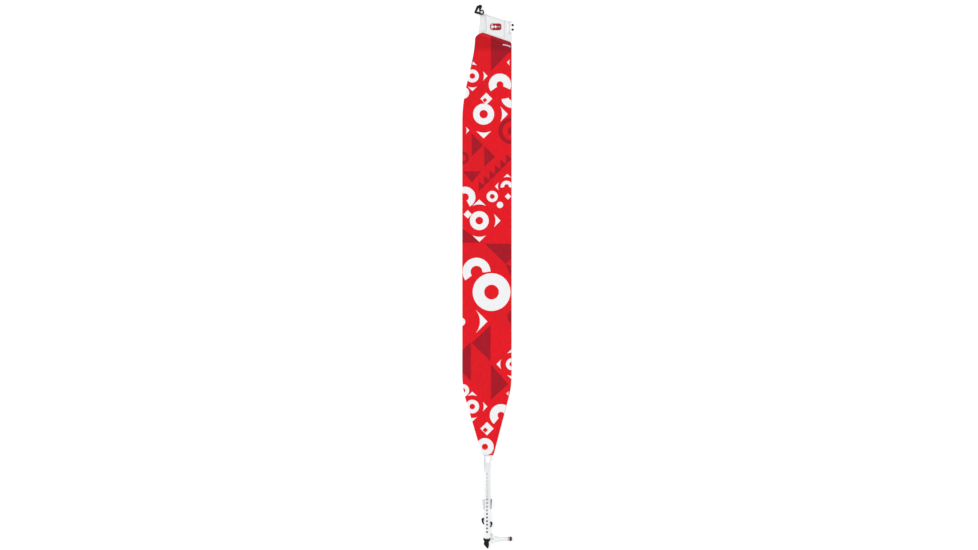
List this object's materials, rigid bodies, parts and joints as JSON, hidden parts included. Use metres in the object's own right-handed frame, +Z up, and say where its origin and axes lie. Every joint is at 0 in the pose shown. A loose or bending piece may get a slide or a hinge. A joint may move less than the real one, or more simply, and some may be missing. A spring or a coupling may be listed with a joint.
{
  "type": "splitboard climbing skin",
  "caption": "Splitboard climbing skin with red printed plush, pale tip plate with a swivel hook and a pronged hook, and a perforated tail strap with a sliding hook clip.",
  "frame": {"origin": "centre of the bounding box in X and Y, at the underside the skin lies on", "axes": "+Y along the skin towards its tip, +X towards its straight inside edge, +Z up through the plush"},
  "size_m": [0.1472, 1.5512, 0.0149],
  "materials": {
    "plush_red": "matte",
    "film_grey": "matte",
    "glue_dark": "satin",
    "pale_plastic": "satin",
    "badge_red": "satin",
    "steel": "satin",
    "black_plastic": "satin",
    "white_strap": "satin",
    "grey_plastic": "satin",
    "dark_rubber": "matte"
  },
  "bodies": {
    "skin": {"plush_fabric": "plush_red", "backing_film": "film_grey", "glue_coat": "glue_dark", "tip_plate": "pale_plastic", "tip_cover": "pale_plastic", "tip_badge": "badge_red", "tip_rod": "steel", "left_arm_rivet": "steel", "right_axle": "steel", "tail_strap": "white_strap"},
    "left_arm": {"left_arm": "pale_plastic", "left_hook_pin": "steel"},
    "left_hook": {"left_hook": "black_plastic"},
    "right_hook": {"right_hook": "pale_plastic", "upper_hook_ball": "black_plastic", "lower_hook_ball": "black_plastic"},
    "clip": {"clip_plate": "grey_plastic", "strap_guide": "grey_plastic", "clip_body": "black_plastic", "tail_hook_pin": "steel", "edge_arm_rivet": "steel"},
    "tail_hook": {"tail_hook": "black_plastic"},
    "edge_arm": {"edge_arm": "pale_plastic", "edge_pad": "dark_rubber"}
  },
  "joints": [
    {"name": "left_arm_swing", "type": "hinge", "parent": "skin", "child": "left_arm", "pos_m": [-0.0142, 0.709, 0.0048], "axis": [0, 0, 1], "range_deg": [0, 30]},
    {"name": "left_hook_swivel", "type": "hinge", "parent": "left_arm", "child": "left_hook", "pos_m": [-0.0181, 0.7542, 0.0101], "axis": [0, 0, 1], "range_deg": [-90, 90]},
    {"name": "right_hook_swing", "type": "hinge", "parent": "skin", "child": "right_hook", "pos_m": [0.0599, 0.7119, 0.0039], "axis": [0, -1, 0], "range_deg": [0, 100]},
    {"name": "clip_slide", "type": "slide", "parent": "skin", "child": "clip", "axis": [0, 1, 0], "range_m": [0, 0.0412]},
    {"name": "tail_hook_fold", "type": "hinge", "parent": "clip", "child": "tail_hook", "pos_m": [-0.0028, -0.744, 0.0055], "axis": [1, 0, 0], "range_deg": [0, 60]},
    {"name": "edge_arm_swing", "type": "hinge", "parent": "clip", "child": "edge_arm", "pos_m": [0.0123, -0.7486, 0.0079], "axis": [0, 0, 1], "range_deg": [-18, 18]}
  ]
}
